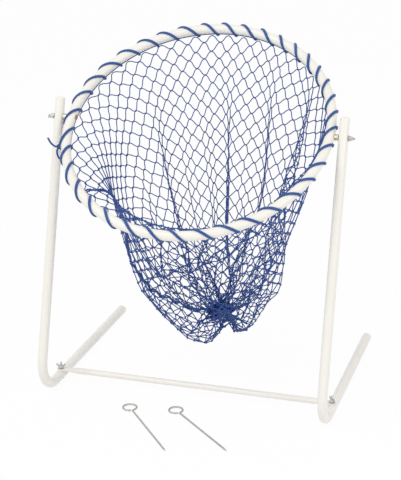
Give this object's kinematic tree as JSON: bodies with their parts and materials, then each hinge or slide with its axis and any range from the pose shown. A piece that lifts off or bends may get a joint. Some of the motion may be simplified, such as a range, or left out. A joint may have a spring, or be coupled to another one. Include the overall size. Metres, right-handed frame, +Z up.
{
  "type": "tilting hoop net target",
  "caption": "Free-standing lawn game target: a tube hoop with a laced net bag, pivoted between two bent-tube side frames joined by a crossbar, with loose wire ground stakes.",
  "frame": {"origin": "middle of the stand's footprint, on the ground", "axes": "+Z up, +X across the stand to its right as seen from the front, +Y to the back; the hoop's open face leans to the front"},
  "size_m": [0.8154, 0.8032, 0.9441],
  "materials": {
    "tube_enamel": "gloss white enamel on steel tube",
    "cap_plastic": "white moulded end caps",
    "zinc": "bright zinc plated fasteners",
    "spacer_plating": "yellow zinc plated spacers",
    "lacing_cord": "braided polypropylene lacing cord, medium blue",
    "net_cord": "knotted twine, navy blue",
    "stake_wire": "galvanised wire"
  },
  "bodies": {
    "stand": {"left_side_frame": "tube_enamel", "right_side_frame": "tube_enamel", "left_top_cap": "cap_plastic", "right_top_cap": "cap_plastic", "left_foot_cap": "cap_plastic", "right_foot_cap": "cap_plastic", "crossbar": "tube_enamel", "left_crossbar_bolt": "zinc", "right_crossbar_bolt": "zinc", "crossbar_washers": "zinc", "pivot_washers": "zinc"},
    "hoop": {"hoop": "tube_enamel", "left_pivot_bolt": "zinc", "right_pivot_bolt": "zinc", "pivot_spacers": "spacer_plating", "lacing_cord": "lacing_cord", "lacing_knot": "lacing_cord", "net": "net_cord", "net_seam_cord": "net_cord", "drawstring": "net_cord"},
    "left_pivot_wing_nut": {"left_pivot_wing_nut": "zinc"},
    "right_pivot_wing_nut": {"right_pivot_wing_nut": "zinc"},
    "left_crossbar_wing_nut": {"left_crossbar_wing_nut": "zinc"},
    "right_crossbar_wing_nut": {"right_crossbar_wing_nut": "zinc"},
    "left_stake": {"left_stake": "stake_wire"},
    "right_stake": {"right_stake": "stake_wire"}
  },
  "joints": [
    {"name": "hoop_tilt", "type": "hinge", "parent": "stand", "child": "hoop", "pos_m": [0, -0.02779, 0.72845], "axis": [1, 0, 0], "range_deg": [-35, 55]},
    {"name": "left_pivot_nut_turn", "type": "hinge", "parent": "hoop", "child": "left_pivot_wing_nut", "pos_m": [-0.398, -0.02779, 0.72845], "axis": [-1, 0, 0], "continuous": true},
    {"name": "right_pivot_nut_turn", "type": "hinge", "parent": "hoop", "child": "right_pivot_wing_nut", "pos_m": [0.398, -0.02779, 0.72845], "axis": [1, 0, 0], "continuous": true},
    {"name": "left_crossbar_nut_turn", "type": "hinge", "parent": "stand", "child": "left_crossbar_wing_nut", "pos_m": [-0.378, -0.08388, 0.0357], "axis": [0, 0.0062, 1], "continuous": true},
    {"name": "right_crossbar_nut_turn", "type": "hinge", "parent": "stand", "child": "right_crossbar_wing_nut", "pos_m": [0.378, -0.08388, 0.0357], "axis": [0, 0.0062, 1], "continuous": true},
    {"name": "left_stake_lift", "type": "slide", "parent": "stand", "child": "left_stake", "axis": [0, 0, 1], "range_m": [0, 0.3]},
    {"name": "right_stake_lift", "type": "slide", "parent": "stand", "child": "right_stake", "axis": [0, 0, 1], "range_m": [0, 0.3]}
  ]
}
